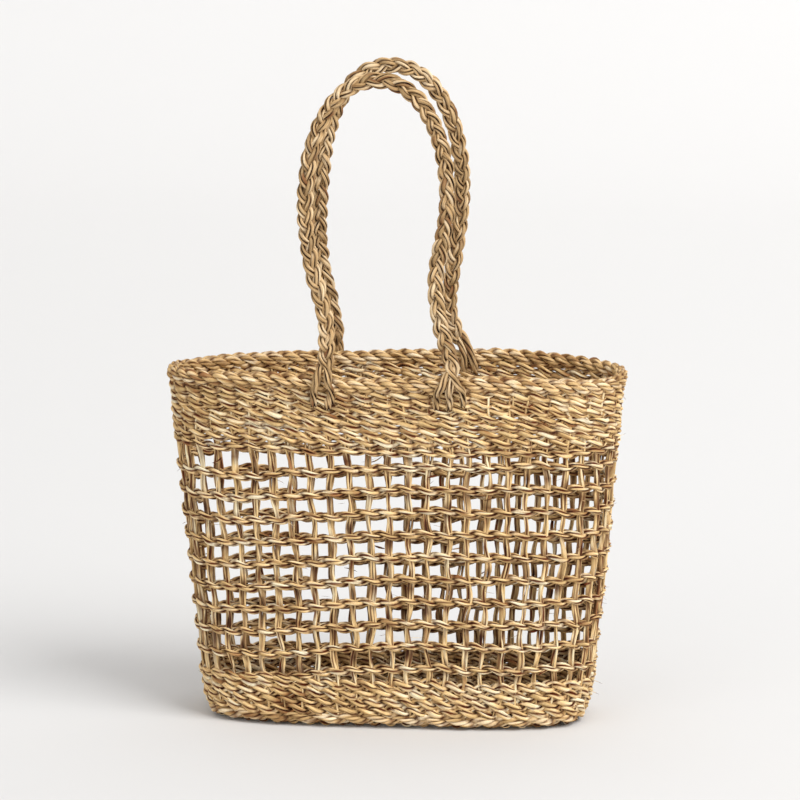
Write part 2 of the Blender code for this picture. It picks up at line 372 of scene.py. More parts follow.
# %% [markdown]
# ## A leaf's skin
# A seagrass leaf dries into a flat, creased ribbon that is rolled as it is twined. Its section is an oval
# with a few grooves. The skin carries two attributes for the material: around, the direction from the middle
# of the strand, and along, the distance down the strand in metres plus an offset of its own.

# %% The skin of one leaf
SKIN_SIZES = {
    "Section": 7,  # points round a leaf
    "Radius": 0.0022,
    "Pinch": 0.2,  # how much thinner it is where two strands cross
    "Flatness": 0.7,  # its thickness as a share of its width
    "Twist": 20.0,  # turns a metre
    "Groove": 0.12,
    "Uneven": 0.2,
    "Taper": 0.0,  # length over which an open end thins out
    "Seed": 0,
}
GROOVES = 3.0
SWELL_SCALE = 45.0  # how closely the thick and thin places follow each other
SWELL_GAIN = 4.0
TIP = 0.0003  # an open end's taper stops this short of a point
TIP_ROUNDNESS = 0.6
SEED_SPREAD = 9.0  # how far apart two leaves lie in the noise
ALONG_SPREAD = 7.0  # how far apart two leaves' streaks start
TILT_WANDER = 3.0


def grooved_section(tree, given):
    """A flat oval with three grooves, drawn in the profile's own plane."""
    round_shape = {"Resolution": given["Section"], "Radius": 1.0}
    circle = add_node(tree, "GeometryNodeCurvePrimitiveCircle", round_shape, mode="RADIUS").outputs["Curve"]
    index = add_node(tree, "GeometryNodeInputIndex").outputs[0]
    angle = calc(tree, "DIVIDE", calc(tree, "MULTIPLY", index, 2 * math.pi), given["Section"])
    waves = calc(tree, "COSINE", calc(tree, "MULTIPLY", angle, GROOVES))
    dip = calc(tree, "MULTIPLY", waves, given["Groove"])
    reach = calc(tree, "SUBTRACT", 1.0, dip)
    cos, sin = calc(tree, "COSINE", angle), calc(tree, "SINE", angle)
    x = calc(tree, "MULTIPLY", calc(tree, "MULTIPLY", cos, reach), given["Flatness"])
    y = calc(tree, "MULTIPLY", sin, reach)
    place = add_node(tree, "ShaderNodeCombineXYZ", {0: x, 1: y}).outputs[0]
    moved = add_node(tree, "GeometryNodeSetPosition", {"Geometry": circle, "Position": place})
    around = add_node(tree, "ShaderNodeCombineXYZ", {0: cos, 1: sin, 2: dip}).outputs[0]
    return store(tree, moved.outputs[0], "around", around, "FLOAT_VECTOR")


def skin_tree():
    tree, given, result = new_tree("leaf_skin", {**SKIN_SIZES, "Pass": 1.0})
    spline = add_node(tree, "GeometryNodeSplineParameter")
    whole = add_node(tree, "GeometryNodeSplineLength").outputs["Length"]
    place = add_node(tree, "GeometryNodeInputPosition").outputs[0]
    index = add_node(tree, "GeometryNodeInputIndex").outputs[0]
    luck = add_node(tree, "FunctionNodeRandomValue", {"ID": index, "Seed": given["Seed"]}, data_type="FLOAT")
    curve = store(tree, given["Geometry"], "luck", luck.outputs[1], domain="CURVE")
    curve = store(tree, curve, "pass", given["Pass"])
    own = read(tree, "luck", "FLOAT")
    drawn = calc(tree, "ADD", calc(tree, "MULTIPLY", own, SEED_SPREAD), given["Seed"])
    noise = add_node(
        tree,
        "ShaderNodeTexNoise",
        {"Vector": place, "W": drawn, "Scale": SWELL_SCALE, "Detail": 2.0},
        noise_dimensions="4D",
    ).outputs[0]
    swell = calc(tree, "MULTIPLY", calc(tree, "SUBTRACT", noise, 0.5), given["Uneven"])
    swell = calc(tree, "ADD", calc(tree, "MULTIPLY", swell, SWELL_GAIN), 1.0)
    thin = calc(tree, "MULTIPLY", calc(tree, "SUBTRACT", 1.0, given["Pass"]), given["Pinch"])
    run = spline.outputs["Length"]
    from_end = calc(tree, "MINIMUM", run, calc(tree, "SUBTRACT", whole, run))
    from_end = calc(tree, "DIVIDE", calc(tree, "ADD", from_end, TIP), calc(tree, "ADD", given["Taper"], TIP))
    ends = calc(tree, "POWER", calc(tree, "MINIMUM", from_end, 1.0), TIP_ROUNDNESS)
    radius = calc(tree, "MULTIPLY", given["Radius"], calc(tree, "SUBTRACT", 1.0, thin))
    radius = calc(tree, "MULTIPLY", calc(tree, "MULTIPLY", radius, swell), ends)
    along = calc(tree, "ADD", run, calc(tree, "MULTIPLY", own, ALONG_SPREAD))
    curve = store(tree, curve, "along", along)
    facing = {"Curve": curve, "Normal": read(tree, "out", "FLOAT_VECTOR")}
    curve = add_node(tree, "GeometryNodeSetCurveNormal", facing, mode="FREE").outputs[0]
    whole_turns = calc(tree, "ROUND", calc(tree, "MULTIPLY", whole, given["Twist"]))
    turned = calc(tree, "MULTIPLY", spline.outputs["Factor"], whole_turns)
    turned = calc(tree, "MULTIPLY", turned, 2 * math.pi)
    tilt = calc(tree, "ADD", turned, calc(tree, "MULTIPLY", noise, TILT_WANDER))
    tilt = calc(tree, "ADD", tilt, calc(tree, "MULTIPLY", own, 2 * math.pi))
    curve = add_node(tree, "GeometryNodeSetCurveTilt", {"Curve": curve, "Tilt": tilt}).outputs[0]
    skin = add_node(
        tree,
        "GeometryNodeCurveToMesh",
        {"Curve": curve, "Profile Curve": grooved_section(tree, given), "Scale": radius, "Fill Caps": True},
    ).outputs[0]
    smooth = add_node(tree, "GeometryNodeSetShadeSmooth", {"Geometry": skin}).outputs[0]
    tree.links.new(smooth, result["Geometry"])
    return tree


SKIN = skin_tree()
print("skin tree:", len(SKIN.nodes), "nodes")

# %% [markdown]
# The whole tool chains them: edges become curves, strands are laid on the path, leaves are laid on each
# strand, and every leaf gets its skin. It ends in Realize Instances and Set Material.

# %% The seagrass tree
LEAF_SIZES = {"Leaves": 1, "Leaf Turns": 0.0, "Leaf Offset": 0.0}


def seagrass_tree():
    tree, given, result = new_tree("seagrass", {**LAY_SIZES, **LEAF_SIZES, **SKIN_SIZES, "Straw": None})
    curve = add_node(tree, "GeometryNodeMeshToCurve", {"Mesh": given["Geometry"]}).outputs[0]
    strands = add_node(tree, "GeometryNodeGroup", node_tree=LAY)
    tree.links.new(curve, strands.inputs["Geometry"])
    for word in LAY_SIZES:
        tree.links.new(given[word], strands.inputs[word])
    heart = add_node(tree, "GeometryNodeInputPosition").outputs[0]
    cored = store(tree, strands.outputs["Geometry"], "core", heart, "FLOAT_VECTOR")
    leaves = add_node(tree, "GeometryNodeGroup", node_tree=LAY)
    pairs = {"Geometry": cored, "Strands": given["Leaves"], "Turns": given["Leaf Turns"]}
    pairs.update({"Out": given["Leaf Offset"], "Side": given["Leaf Offset"]})
    for word, socket in pairs.items():
        tree.links.new(socket, leaves.inputs[word])
    skin = add_node(tree, "GeometryNodeGroup", node_tree=SKIN)
    tree.links.new(leaves.outputs["Geometry"], skin.inputs["Geometry"])
    tree.links.new(strands.outputs["Pass"], skin.inputs["Pass"])
    for word in SKIN_SIZES:
        tree.links.new(given[word], skin.inputs[word])
    real = add_node(tree, "GeometryNodeRealizeInstances", {0: skin.outputs[0]}).outputs[0]
    here = add_node(tree, "GeometryNodeInputPosition").outputs[0]
    inputs = {0: here, 1: read(tree, "core", "FLOAT_VECTOR")}
    gap = add_node(tree, "ShaderNodeVectorMath", inputs, operation="DISTANCE").outputs["Value"]
    normal = add_node(tree, "GeometryNodeInputNormal").outputs[0]
    inputs = {0: normal, 1: read(tree, "out", "FLOAT_VECTOR")}
    faces_out = add_node(tree, "ShaderNodeVectorMath", inputs, operation="DOT_PRODUCT").outputs["Value"]
    # faces_out and crown are read by the material, which paints shade on the inside and in the creases from
    # them
    real = store(tree, real, "faces_out", faces_out)
    full = calc(tree, "ADD", given["Leaf Offset"], given["Radius"])
    real = store(tree, real, "crown", calc(tree, "DIVIDE", gap, full))
    done = add_node(tree, "GeometryNodeSetMaterial", {"Geometry": real, "Material": given["Straw"]})
    tree.links.new(done.outputs[0], result["Geometry"])
    return tree


SEAGRASS = seagrass_tree()


def set_inputs(modifier, values):
    """Sets a modifier's inputs by the socket's identifier, which the name only stands for."""
    sockets = modifier.node_group.interface.items_tree
    identifiers = {s.name: s.identifier for s in sockets if s.in_out == "INPUT"}
    for word, value in values.items():
        modifier[identifiers[word]] = value


def path_mesh(name, paths):
    """Paths are (points, outs, closed). They become a mesh of edges that carries the out attribute."""
    points = np.vstack([np.asarray(p[0]) for p in paths])
    outs = np.vstack([np.asarray(p[1]) for p in paths])
    edges, start = [], 0
    for path_points, _, closed in paths:
        count = len(path_points)
        edges += [(start + i, start + i + 1) for i in range(count - 1)]
        if closed:
            edges.append((start + count - 1, start))
        start += count
    mesh = bpy.data.meshes.new(name)
    mesh.from_pydata(points.tolist(), edges, [])
    attribute = mesh.attributes.new("out", "FLOAT_VECTOR", "POINT")
    attribute.data.foreach_set("vector", outs.astype(np.float32).ravel())
    return mesh


def plain_mesh(obj):
    """Turns what an object's modifiers make into its own plain mesh."""
    bpy.context.view_layer.update()
    depsgraph = bpy.context.evaluated_depsgraph_get()
    evaluated = obj.evaluated_get(depsgraph)
    mesh = bpy.data.meshes.new_from_object(evaluated, preserve_all_data_layers=True, depsgraph=depsgraph)
    obj.modifiers.clear()
    obj.data = mesh
    mesh.name = obj.name
    return obj


def lay(name, paths, sizes, straw, stands_for):
    """Lays seagrass along the paths as one piece, and hides the CAD nodes that it stands in for."""
    obj = bpy.data.objects.new(name, path_mesh(name, paths))
    bpy.context.scene.collection.objects.link(obj)
    modifier = obj.modifiers.new("seagrass", "NODES")
    modifier.node_group = SEAGRASS
    set_inputs(modifier, {**LAY_SIZES, **LEAF_SIZES, **SKIN_SIZES, **sizes, "Straw": straw})
    plain_mesh(obj)
    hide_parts(*stands_for)
    obj.data.calc_loop_triangles()
    return obj


# %% [markdown]
# ## The straw's colour
# Dried seagrass is never one colour. Along a leaf it drifts between gold, pale straw and a dull green or
# pinkish brown, and fine veins run its length. Shade is painted into the grooves, where strands cross,
# and on the inside near the base. The pattern is mapped on the leaf itself, so its streaks follow every turn
# of the strand.

# %% The seagrass material
def tint(red, green, blue):
    """A screen colour, 0 to 255, as the linear colour that a shader takes."""

    def linear(level):
        return ((level / 255 + 0.055) / 1.055) ** 2.4 if level > 10 else level / 255 / 12.92

    return linear(red), linear(green), linear(blue), 1


def ramp(tree, factor, stops):
    made = add_node(tree, "ShaderNodeValToRGB", {0: factor})
    elements = made.color_ramp.elements
    while len(elements) < len(stops):
        elements.new(0.5)
    for element, (place, colour) in zip(elements, stops):
        element.position = place
        element.color = colour
    return made.outputs[0]


def mix(tree, kind, factor, first, second):
    inputs = {0: factor, 6: first, 7: second}
    return add_node(tree, "ShaderNodeMix", inputs, data_type="RGBA", blend_type=kind).outputs[2]


def attribute(tree, name):
    return add_node(tree, "ShaderNodeAttribute", attribute_name=name).outputs


def noise(tree, place, scale, detail=3.0, roughness=0.6):
    inputs = {"Vector": place, "Scale": scale, "Detail": detail, "Roughness": roughness}
    return add_node(tree, "ShaderNodeTexNoise", inputs).outputs[0]


VEIN_SHADES = ((0.28, tint(150, 108, 62)), (0.42, tint(238, 224, 200)), (0.57, tint(255, 254, 250)))
CROSSING_SHADE_TINT = tint(114, 64, 24)
INSIDE_SHADE_TINT = tint(150, 108, 72)
CREASE_SHADE_TINT = tint(100, 46, 8)


def seagrass_material(name, pale, gold, dull, brown, crease_shade_tint=CREASE_SHADE_TINT):
    """The four colours are those of a leaf's patches; the last colour is the painted shade at the bottom of
    the creases.
    """
    material = bpy.data.materials.new(name)
    material.use_nodes = True
    tree = material.node_tree
    shader = tree.nodes["Principled BSDF"]
    shader.inputs["Roughness"].default_value = 0.66
    shader.inputs["Specular IOR Level"].default_value = 0.18
    along = attribute(tree, "along")["Fac"]
    luck = attribute(tree, "luck")["Fac"]
    crossing = attribute(tree, "pass")["Fac"]
    crown = attribute(tree, "crown")["Fac"]
    parts = add_node(tree, "ShaderNodeSeparateXYZ", {0: attribute(tree, "around")["Vector"]}).outputs
    # veins run the length of the leaf: fine round it, long down it
    run = calc(tree, "MULTIPLY", along, 16.0)
    leaf = add_node(tree, "ShaderNodeCombineXYZ", {0: parts[0], 1: parts[1], 2: run})
    own = add_node(tree, "ShaderNodeVectorMath", {0: leaf.outputs[0], 1: luck}, operation="ADD").outputs[0]
    veins = noise(tree, own, 3.2, 4.0, 0.75)
    # patches: a new leaf is rolled in every few centimetres
    across = calc(tree, "MULTIPLY", parts[0], 0.3)
    apart = calc(tree, "MULTIPLY", luck, 30.0)
    down = calc(tree, "MULTIPLY", along, 26.0)
    patch = add_node(tree, "ShaderNodeCombineXYZ", {0: across, 1: apart, 2: down})
    patches = noise(tree, patch.outputs[0], 1.3, 2.0, 0.5)
    place = add_node(tree, "ShaderNodeTexCoord").outputs["Object"]
    region = noise(tree, place, 14.0, 2.0, 0.5)
    blend = calc(tree, "ADD", calc(tree, "MULTIPLY", patches, 0.75), calc(tree, "MULTIPLY", region, 0.25))
    colour = ramp(tree, blend, ((0.34, brown), (0.43, dull), (0.51, gold), (0.62, pale)))
    colour = mix(tree, "MULTIPLY", 0.9, colour, ramp(tree, veins, VEIN_SHADES))
    # shade where a strand passes under another, and in the creases between leaves
    deep = calc(tree, "SUBTRACT", 1.0, calc(tree, "MULTIPLY", crossing, 2.2, clamp=True), clamp=True)
    colour = mix(tree, "MULTIPLY", calc(tree, "MULTIPLY", deep, 0.80), colour, CROSSING_SHADE_TINT)
    reach = {0: crown, 1: 0.52, 2: 0.91, 3: 1.0, 4: 0.0}
    crease = add_node(tree, "ShaderNodeMapRange", reach, interpolation_type="SMOOTHSTEP").outputs[0]
    colour = mix(tree, "MULTIPLY", crease, colour, crease_shade_tint)
    # painted shade on the faces that look inwards, in the lowest rows only and deepest at the base
    faces_out = attribute(tree, "faces_out")["Fac"]
    inward = add_node(tree, "ShaderNodeMapRange", {0: faces_out, 1: 0.2, 2: -0.6, 3: 0.0, 4: 1.0}).outputs[0]
    height = add_node(tree, "ShaderNodeSeparateXYZ", {0: place}).outputs[2]
    low = add_node(tree, "ShaderNodeMapRange", {0: height, 1: 0.03, 2: 0.15, 3: 0.25, 4: 0.0}).outputs[0]
    colour = mix(tree, "MULTIPLY", calc(tree, "MULTIPLY", inward, low), colour, INSIDE_SHADE_TINT)
    tree.links.new(colour, shader.inputs["Base Color"])
    bump = add_node(tree, "ShaderNodeBump", {"Height": veins, "Strength": 0.8, "Distance": 0.0006})
    tree.links.new(bump.outputs[0], shader.inputs["Normal"])
    return material


TWINE = seagrass_material(
    "twine_seagrass", tint(255, 246, 218), tint(254, 222, 168), tint(214, 184, 132), tint(172, 122, 78)
)
ROPE = seagrass_material(
    "rope_seagrass", tint(254, 238, 208), tint(236, 203, 152), tint(200, 169, 120), tint(162, 116, 76)
)
CORD = seagrass_material(
    "cord_seagrass", tint(255, 244, 212), tint(250, 220, 168), tint(216, 188, 138), tint(172, 124, 84)
)
# the braid's colours are darker than the other straws': painted shade, and its creases get a deeper painted
# shade
BRAID = seagrass_material(
    "braid_seagrass",
    tint(240, 218, 184),
    tint(212, 180, 136),
    tint(178, 150, 110),
    tint(146, 104, 70),
    crease_shade_tint=tint(70, 36, 14),
)
print("material nodes:", len(TWINE.node_tree.nodes))

# %% [markdown]
# ## Rows of twining
# Each row is a closed ring with two strands and half a turn to every stake. In the net one strand is
# outermost just where a stake stands. In the bands the pattern slips off the stakes by a part of a step,
# because packed rows push each other along. Rows in the net have room to wander, while rows in the bands lie
# against their neighbours and only ripple.

# %% Rings of twining
STAKE_INSET = 0.0048  # from the wall's outer face to the middle of a stake
QUARTER = math.pi / 2
DRIFT_WAVES = (6, 11, 17, 26)
BAND_DRIFT = 0.0045
BAND_SLIP = 1.2  # the most a band row's pattern starts off the stakes, in radians


def ring(z, inset, reach, waves, seed, drift=0.0, lift=0.0):
    """A closed path; drift slides its points along it, so that the lenses of a row differ in length."""
    points, outs, length = outline(round(z, 4))
    shares = SHARES + wander(SHARES, z, drift, DRIFT_WAVES, seed + 40) / length
    height = z + sag(SHARES, z) + wander(SHARES, z, reach, waves, seed) + lift
    flat = points - inset * outs
    columns = [np.interp(shares, SHARES, column, period=1) for column in (*flat.T, height, *outs.T)]
    return np.column_stack(columns[:3]), np.column_stack([*columns[3:], np.zeros(STATIONS)]), True


def bundle(leaves, offset, radius, flatness, turns, seed):
    """A strand as a bundle of leaves that twist slowly round each other."""
    return {
        "Leaves": leaves,
        "Leaf Offset": offset,
        "Leaf Turns": float(turns),
        "Radius": radius,
        "Flatness": flatness,
        "Seed": seed,
    }


def twining(out, side, pinch):
    """Two strands, half a turn to a stake, that start with one of them outermost at a stake."""
    return {
        "Strands": 2,
        "Turns": STAKES / 2,
        "Start": -QUARTER,
        "Out": out,
        "Side": -side,
        "Pinch": pinch,
        "Twist": 9.0,
    }


def middle(name):
    low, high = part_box(name)
    return (low.z + high.z) / 2


slips = np.random.default_rng(31).uniform(-BAND_SLIP, BAND_SLIP, len(ROWS))
top_course = max(number for number, name in enumerate(ROWS) if "net" in name)  # lies close under the band
for number, name in enumerate(ROWS):
    z = middle(name)
    slipped = {"Start": float(slips[number]) - QUARTER}
    if "net" in name:
        lift = 0 if number == top_course else lifted(SHARES, NET_LIFTS, NET_BLUR)
        path = ring(z, STAKE_INSET, 0.0009, (9, 13, 17, 22), number, lift=lift)
        sizes = {**twining(0.0026, 0.0020, 0.05), **bundle(3, 0.0012, 0.0017, 0.66, 21, number)}
    elif "upper" in name:
        path = ring(z, STAKE_INSET, 0.0005, (9, 14, 19), number, BAND_DRIFT)
        sizes = {**twining(0.0021, 0.0031, 0.05), **bundle(3, 0.0014, 0.0020, 0.75, 17, number), **slipped}
    else:
        path = ring(z, STAKE_INSET, 0.0006, (8, 11, 15), number, BAND_DRIFT)
        sizes = {**twining(0.0021, 0.0032, 0.05), **bundle(3, 0.0016, 0.0021, 0.75, 17, number), **slipped}
    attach(lay(name + "_twining", [path], sizes, TWINE, [name]), "basket")

# %% [markdown]
# ## Borders
# A three-strand rope finishes the rim, and a two-strand rope is worked round the foot. Both are laid ropes:
# the strands circle the path and press into each other, and each strand is four leaves.

# %% Rim rope and foot rope
ROPE_REACH, ROPE_SEED = 0.0004, 70


def rope(name, strands, turns, out, side, inset, waves, lift, leaf_sizes):
    """Lays a rope, with its middle at inset from the wall's face and lifted from its packed ring's middle."""
    path = ring(middle(name) + lift, inset, ROPE_REACH, waves, ROPE_SEED)
    laid = {
        "Strands": strands,
        "Turns": float(turns),
        "Out": out,
        "Side": -side,
        "Pinch": 0.0,
        "Twist": 8.0,
    }
    obj = lay(name + "_laid", [path], {**laid, **leaf_sizes}, ROPE, [name])
    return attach(obj, "basket")


rim_leaves = bundle(4, 0.0017, 0.0020, 0.75, 31, 71)
foot_leaves = bundle(4, 0.0019, 0.0022, 0.7, 29, 72)
rope("rim_rope", 3, 23, 0.0027, 0.0040, 0.0040, (7, 12), -0.0009, rim_leaves)
rope("foot_rope", 2, 17, 0.0026, 0.0024, 0.0062, (4, 7), 0.0032, foot_leaves)

# %% [markdown]
# ## Warp cords
# A warp cord comes down one wall, turns under the basket and goes up the other wall. It is two or three
# leaves laid side by side with a slow twist. The rows hold it, but between rows it strays a little.

# %% Warp cords
CORD_RADIUS = 0.0021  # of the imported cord, whose middle the leaves follow
CORD_LEAF_RADIUS = 0.0019
BEND = 0.009  # the radius at which a cord turns from wall to base
CORD_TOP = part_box("rim_rope")[0].z + 0.004
CORD_STEP, FLOOR_STEP = 0.0035, 0.006
SWAY_REACH, SWAY_WAVES = 0.0008, (22, 55, 100, 160)


def cord_path(first, second, base_z, seed):
    """Down the wall at stake `first`, across the base, and up at stake `second`."""
    rises = np.arange(base_z + BEND, CORD_TOP, CORD_STEP)
    dice = np.random.default_rng(seed)
    phases = dice.uniform(0, 2 * math.pi, (2, len(SWAY_WAVES)))

    def standing(stake, row):
        places, outs = [], []
        for z in rises:
            sway = sum(math.sin(z * wave + phase) for wave, phase in zip(SWAY_WAVES, phases[row]))
            share = (stake + 0.5) / STAKES + sway * SWAY_REACH / outline(round(float(z), 3))[2]
            place, out = on_wall(z, share, STAKE_INSET)
            places.append(place)
            outs.append(out)
        return places, outs

    down, down_out = standing(first, 0)
    up, up_out = standing(second, 1)
    low_a, low_b = down[0], up[0]
    way = (low_b - low_a) / np.linalg.norm(low_b - low_a)
    under = np.array([0, 0, -1.0])
    angles = np.linspace(0, QUARTER, 6)[1:]
    turn = [(BEND * (1 - math.cos(angle)), BEND * math.sin(angle)) for angle in angles]
    corner_a = [low_a + way * slide + under * drop for slide, drop in turn]
    corner_b = [low_b - way * slide + under * drop for slide, drop in turn]
    outs_a = [-way * math.cos(angle) + under * math.sin(angle) for angle in angles]
    outs_b = [way * math.cos(angle) + under * math.sin(angle) for angle in angles]
    count = max(4, int(np.linalg.norm(corner_b[-1] - corner_a[-1]) / FLOOR_STEP))
    floor = [corner_a[-1] + (corner_b[-1] - corner_a[-1]) * i / count for i in range(1, count)]
    places = down[::-1] + corner_a + floor + corner_b[::-1] + up
    outs = down_out[::-1] + outs_a + [under] * len(floor) + outs_b[::-1] + up_out
    return np.array(places), np.array(outs), False


def cord(name, first, second, seed):
    low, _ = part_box(name)
    path = cord_path(first, second, low.z + CORD_RADIUS, seed)
    dice = np.random.default_rng(seed)
    length = float(np.linalg.norm(np.diff(path[0], axis=0), axis=1).sum())
    sizes = {
        "Strands": int(dice.choice([2, 2, 3])),
        "Turns": float(round(length * dice.uniform(4, 9))),
        "Start": float(dice.uniform(0, 6)),
        "Out": 0.0010,
        "Side": 0.0015,
        "Radius": CORD_LEAF_RADIUS,
        "Flatness": 0.6,
        "Section": 8,
        "Uneven": 0.3,
        "Pinch": 0.0,
        "Twist": 6.0,
        "Seed": seed,
    }
    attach(lay(name + "_leaves", [path], sizes, CORD, [name]), "basket")


END_CORDS = sum("end_cord_front" in n for n in nodes)
CROSS_CORDS = sum("cross_cord" in n for n in nodes)
LAST = STAKES - 1
for i in range(CROSS_CORDS):
    cord(f"cross_cord_{i + 1:02d}", END_CORDS + i, LAST - END_CORDS - i, 100 + i)
for i in range(END_CORDS):
    cord(f"end_cord_rear_{i + 1}", i, STAKES // 2 - 1 - i, 200 + i)
    cord(f"end_cord_front_{i + 1}", LAST - i, STAKES // 2 + i, 300 + i)

# %% [markdown]
# ## The base
# The base is the same twining worked flat: oval rows round the crossing cords, from the foot inwards. Here
# the strands pass over and under the cords, so their out direction is up.

# %% Twined base
BASE_PITCH = 0.0074
BASE_EDGE = 0.0105  # the outermost ring's inset, just inside the standing cords
BASE_HEART = 0.004  # the innermost ring is at least this wide to each side
base_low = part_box("base_mat_under")[0].z
base_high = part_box("base_mat_inner")[1].z
base_middle = (base_low + base_high) / 2
BASE_STRAND = 0.0021
foot_x, foot_y = HALF_LENGTHS[0], HALF_WIDTHS[0]
base_rings = []
inset = BASE_EDGE
while inset < foot_y - BASE_HEART:
    spots, _, run = superellipse(foot_x - inset, foot_y - inset, FOOT_SQUARENESS, STATIONS)
    rise = wander(SHARES, 0, 0.0004, (3, 5, 8), int(inset * 1e4))
    upwards = np.tile([0, 0, 1.0], (STATIONS, 1))
    base_rings.append((np.column_stack([spots, base_middle + rise]), upwards, True))
    inset += BASE_PITCH
sizes = {
    **twining(base_high - base_middle - BASE_STRAND, 0.0018, 0.2),
    **bundle(2, BASE_STRAND * 0.4, BASE_STRAND * 0.6, 0.7, 23, 400),
}
base = lay("base_twining", base_rings, sizes, TWINE, ["base_mat_inner", "base_mat_under"])
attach(base, "basket")

# %% [markdown]
# ## The handles
# Each handle is a three-strand plait. At its feet the strands leave the plait and go down over the rim, some
# on the outer face and some inside, and each is tucked into the tight rows below. The whole path of every
# strand is worked out here, and the leaves are then laid on it.

# %% The handle's line
FEET, WAIST, BELLY = 0.0555, 0.0505, 0.0615  # half the gap between the legs
FOOT_RISE, WAIST_RISE, BELLY_RISE = 0.012, 0.050, 0.148  # above the rim
LEAN = -0.012  # how far the loop leans to one side
LEAN_RISE = 0.1036
SQUARENESS = 2.15
BRAID_RADIUS = 0.0065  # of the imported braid
TOP_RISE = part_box("front_handle_braid")[1].z - RIM_TOP - BRAID_RADIUS
print("feet:", round(FEET, 4), "top rise:", round(TOP_RISE, 4))
HINGE_Y, HINGE_Z = 0.0782, 0.3206
TILT = 0.092  # how far the loop's plane leans inwards as it rises


def leg(rise):
    if rise < WAIST_RISE:
        return FEET + (WAIST - FEET) * ease(rise / WAIST_RISE)
    return WAIST + (BELLY - WAIST) * ease((rise - WAIST_RISE) / (BELLY_RISE - WAIST_RISE))


# where a leg was bent by hand: facing, then left -1 or right 1: (rise of the bend, its reach, its length)
BENDS = {
    (-1, 1): (0.100, -0.0035, 0.045),
    (1, -1): (0.060, -0.0135, 0.065),
    (1, 1): (0.028, -0.0110, 0.036),
    (-1, -1): (0.055, 0.0015, 0.030),
}


def bend(facing, x, rise):
    height, reach, length = BENDS[facing, -1 if x < 0 else 1]
    return reach * math.exp(-(((rise - height) / length) ** 2))


def handle_line(facing):
    """The middle of the plait from its left foot to its right foot; facing is -1 in front and 1 behind."""
    flat = [(-leg(r), r) for r in np.linspace(FOOT_RISE, BELLY_RISE, 60)]
    for turn in np.linspace(0, math.pi, 90)[1:-1]:
        reach = abs(math.cos(turn)) ** (2 / SQUARENESS) * math.copysign(BELLY, math.cos(turn))
        flat.append((-reach, BELLY_RISE + (TOP_RISE - BELLY_RISE) * math.sin(turn) ** (2 / SQUARENESS)))
    flat += [(leg(r), r) for r in np.linspace(BELLY_RISE, FOOT_RISE, 60)]
    line = []
    for x, rise in flat:
        z = RIM_TOP + rise
        y = facing * (HINGE_Y - TILT * (z - HINGE_Z))
        line.append((x + LEAN * ease(rise / LEAN_RISE) + bend(facing, x, rise), y, z))
    return np.array(line)


def evenly(points, step):
    """The same line with points a step apart."""
    run = np.concatenate([[0], np.cumsum(np.linalg.norm(np.diff(points, axis=0), axis=1))])
    stops = np.linspace(0, run[-1], max(2, round(run[-1] / step) + 1))
    return np.column_stack([np.interp(stops, run, points[:, axis]) for axis in range(points.shape[1])])


# %% Plait and tucks
PLAIT_PERIOD = 0.039
PLAIT_SWING, PLAIT_DEPTH = 0.0046, 0.0030
PLAIT_UNEVEN, UNEVEN_LENGTH = 0.3, 0.017  # how far, in radians, and how often the plaiting is tight or loose
LEAF_TURN = 0.045  # the length over which the leaves of a strand turn once round each other
LINE_STEP, TUCK_STEP = 0.0022, 0.0025
STRANDS = 3
WALL_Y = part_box("rim_rope")[1].y
# how far a strand stands proud of the rim's outer face while it goes down, and where its tip ends
OUTSIDE_OVER, OUTSIDE_TIP = 0.0028, -0.0070
INSIDE_OVER, INSIDE_TIP = -0.0160, -0.0060


def smooth_line(points, rounds):
    points = np.array(points, float)
    for _ in range(rounds):
        points[1:-1] = (points[:-2] + 2 * points[1:-1] + points[2:]) / 4
    return points


def tuck(start, anchor_x, facing, outside, slide, depth):
    """The way from the plait over the rim to a point `depth` below its top, and then into the wall."""
    over = facing * (WALL_Y + (OUTSIDE_OVER if outside else INSIDE_OVER))
    under = facing * (WALL_Y + (OUTSIDE_TIP if outside else INSIDE_TIP))
    x = anchor_x + slide
    return [
        start,
        ((start[0] + x) / 2, (start[1] + 2 * over) / 3, RIM_TOP + 0.006),
        (x * 0.8 + anchor_x * 0.2, over, RIM_TOP - 0.004),
        (x, over, RIM_TOP - depth * 0.55),
        (x + slide * 0.15, over * 0.75 + under * 0.25, RIM_TOP - depth),
        (x + slide * 0.2, under, RIM_TOP - depth - 0.007),
        (x + slide * 0.2, under, RIM_TOP - depth - 0.016),
    ]


